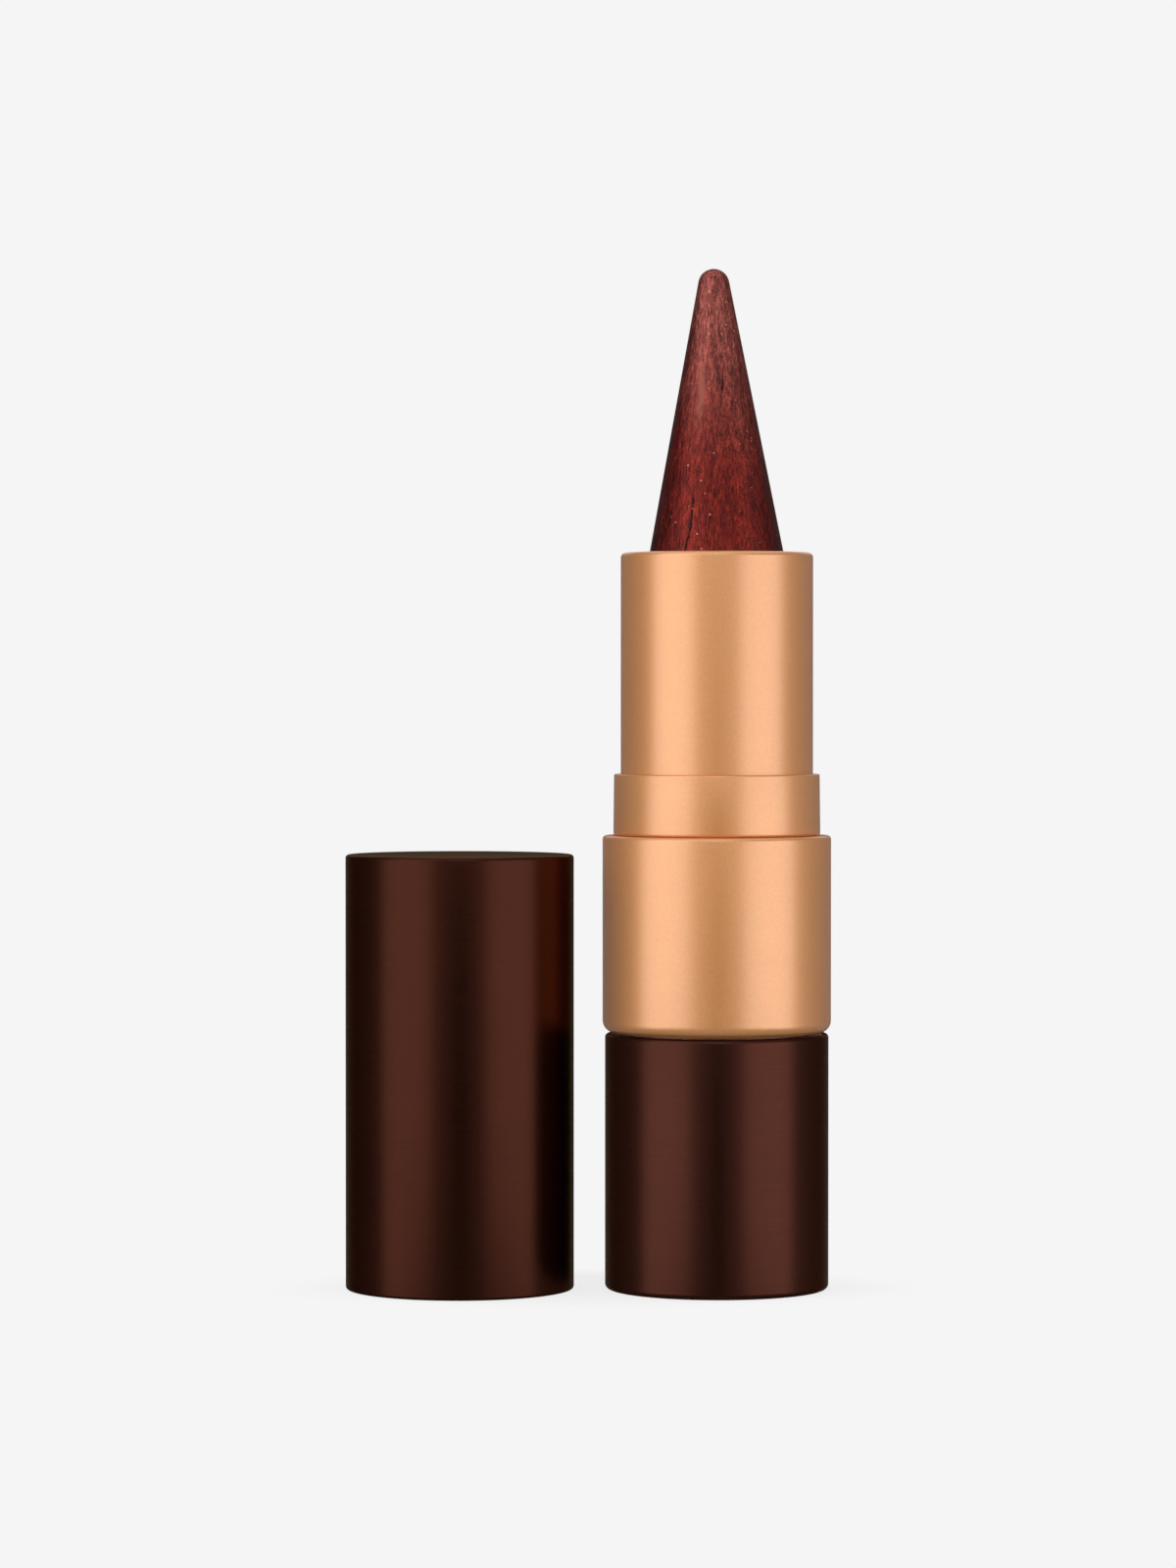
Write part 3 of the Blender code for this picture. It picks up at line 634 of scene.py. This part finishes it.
def moulded_plastic(name, colour, pale, roughness, index):
    """Injection-moulded plastic: a soft sheen, a fine sparked texture and faint flow marks."""
    plastic = bpy.data.materials.new(name)
    plastic.use_nodes = True
    here = add_node(plastic, "TexCoord").outputs["Object"]
    # Spark-eroded texture of the mould
    pit_size = 0.15 * mm
    pits = add_node(plastic, "TexNoise", {"Vector": here, "Scale": 1 / pit_size, "Detail": 2.0})
    # Flow marks, up from the gate
    flow_width = 2 * mm
    flow_length = 12 * mm
    upright = add_node(plastic, "Mapping", {"Vector": here,
                                            "Scale": (1 / flow_width, 1 / flow_width, 1 / flow_length)})
    flow = add_node(plastic, "TexNoise", {"Vector": upright.outputs[0], "Scale": 1.0, "Detail": 3.0})
    tone = add_node(plastic, "Mix", {0: flow.outputs["Fac"], 6: linear(colour), 7: linear(pale)},
                    data_type="RGBA")
    dull = add_node(plastic, "MapRange", {"Value": flow.outputs["Fac"], "From Min": 0.3, "From Max": 0.7,
                                          "To Min": roughness - 0.05, "To Max": roughness + 0.05})
    relief = add_node(plastic, "Bump", {"Height": pits.outputs["Fac"], "Distance": 0.004 * mm,
                                        "Strength": 1.0})
    shader = plastic.node_tree.nodes["Principled BSDF"]
    shader.inputs["IOR"].default_value = index
    for source, socket in ((tone.outputs[2], "Base Color"), (dull.outputs[0], "Roughness"),
                           (relief.outputs[0], "Normal")):
        plastic.node_tree.links.new(source, shader.inputs[socket])
    return plastic


black_plastic = moulded_plastic("moulded_black_polypropylene", colour="1c1b1b", pale="232222",
                                roughness=0.42, index=1.49)

liner_low, liner_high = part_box("cap_liner")
liner_radius = (liner_high.x - liner_low.x) / 2
liner_rim = liner_low.z
liner_top = liner_high.z
liner_wall = 0.36 * mm
liner_roof = 0.8 * mm
liner_bore = liner_radius - liner_wall
mouth_edge_radius = 0.14 * mm
rim_edge_radius = 0.10 * mm
roof_corner_radius = 0.30 * mm
top_edge_radius = 0.20 * mm
rib_count = 8
rib_width = 0.8 * mm
rib_height = 0.1 * mm
rib_margin = 0.7 * mm
rib_bottom = liner_rim + rib_margin
rib_length = 4.4 * mm
rib_edge_radius = 0.05 * mm

cap_liner = add_rod("cap_liner_moulded", liner_radius, liner_rim, liner_top, cap_centre)
pick("FACE", on_end(liner_rim))
bpy.ops.mesh.inset(thickness=liner_wall)
bpy.ops.mesh.extrude_region_move(TRANSFORM_OT_translate={"value": (0, 0, liner_top - liner_rim - liner_roof)})
round_off(mouth_edge_radius, 4, on_ring(liner_bore, liner_rim, cap_centre))
round_off(rim_edge_radius, 3, on_ring(liner_radius, liner_rim, cap_centre))
round_off(roof_corner_radius, 4, on_ring(liner_bore, liner_top - liner_roof, cap_centre))
round_off(top_edge_radius, 4, on_ring(liner_radius, liner_top, cap_centre))
close_up(cap_liner, black_plastic)
ribs = boxes_round("grip_ribs", rib_count, liner_bore - rib_height, liner_bore + liner_wall / 2, rib_width,
                   rib_bottom, rib_bottom + rib_length, cap_centre)
bpy.ops.object.mode_set(mode="EDIT")
bpy.ops.mesh.select_all(action="SELECT")
bpy.ops.mesh.bevel(offset=rib_edge_radius, offset_type="OFFSET", segments=2, affect="EDGES")
bpy.ops.object.mode_set(mode="OBJECT")
combine(cap_liner, ribs, "UNION")
bpy.ops.object.shade_smooth_by_angle(angle=smooth_below)
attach(cap_liner, "cap")
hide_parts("cap_liner")

# The photograph joins two pictures, taken apart, so the stick doesn't mirror the cap in it.
# Mirrored rays pass through the cap here, in the picture only.
cap_shell.visible_glossy = False
cap_liner.visible_glossy = False

# Swivel and its carriers: the pieces inside the case keep their CAD shapes, which no picture
# shows, and get the finish of what each is moulded or pressed from.


def finish_nodes(material, *names):
    """Give CAD nodes a material on their objects' slots, and leave their meshes as they are."""
    for name in names:
        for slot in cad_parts[name].material_slots:
            slot.link = "OBJECT"
            slot.material = material


white_plastic = moulded_plastic("moulded_white_polypropylene", colour="d8d8d4", pale="e2e2de",
                                roughness=0.38, index=1.49)
acetal = moulded_plastic("moulded_natural_acetal", colour="dcd8cc", pale="e6e3d8", roughness=0.30, index=1.48)
silicone = moulded_plastic("moulded_clear_silicone", colour="b8b8b3", pale="c4c4c0", roughness=0.50,
                           index=1.41)
finish_nodes(black_plastic, "base_core", "collar_core")
finish_nodes(white_plastic, "guide_tube", "cup")
finish_nodes(acetal, "spiral_sleeve")
finish_nodes(silicone, "torque_ring")

# Base weight: a disc stamped from steel sheet and zinc plated. The zinc gives it a cool grey
# with a faint spangle, and stamping leaves it slightly uneven in gloss.
zinc = bpy.data.materials.new("zinc_plated_stamped_steel")
zinc.use_nodes = True
here = add_node(zinc, "TexCoord").outputs["Object"]
spangle_size = 0.8 * mm
spangle = add_node(zinc, "TexVoronoi", {"Vector": here, "Scale": 1 / spangle_size})
bright = add_node(zinc, "SeparateXYZ", {0: spangle.outputs["Color"]}).outputs["X"]
tone = add_node(zinc, "Mix", {0: bright, 6: linear("9a9da1"), 7: linear("b4b7bb")}, data_type="RGBA")
dull = add_node(zinc, "MapRange", {"Value": bright, "To Min": 0.30, "To Max": 0.42})
# Rolled grain of the sheet
rolled_size = 0.1 * mm
rolled = add_node(zinc, "TexNoise", {"Vector": here, "Scale": 1 / rolled_size, "Detail": 2.0})
relief = add_node(zinc, "Bump", {"Height": rolled.outputs["Fac"], "Distance": 0.003 * mm, "Strength": 1.0})
shader = zinc.node_tree.nodes["Principled BSDF"]
shader.inputs["Metallic"].default_value = 1.0
for source, socket in ((tone.outputs[2], "Base Color"), (dull.outputs[0], "Roughness"),
                       (relief.outputs[0], "Normal")):
    zinc.node_tree.links.new(source, shader.inputs[socket])
finish_nodes(zinc, "base_weight")
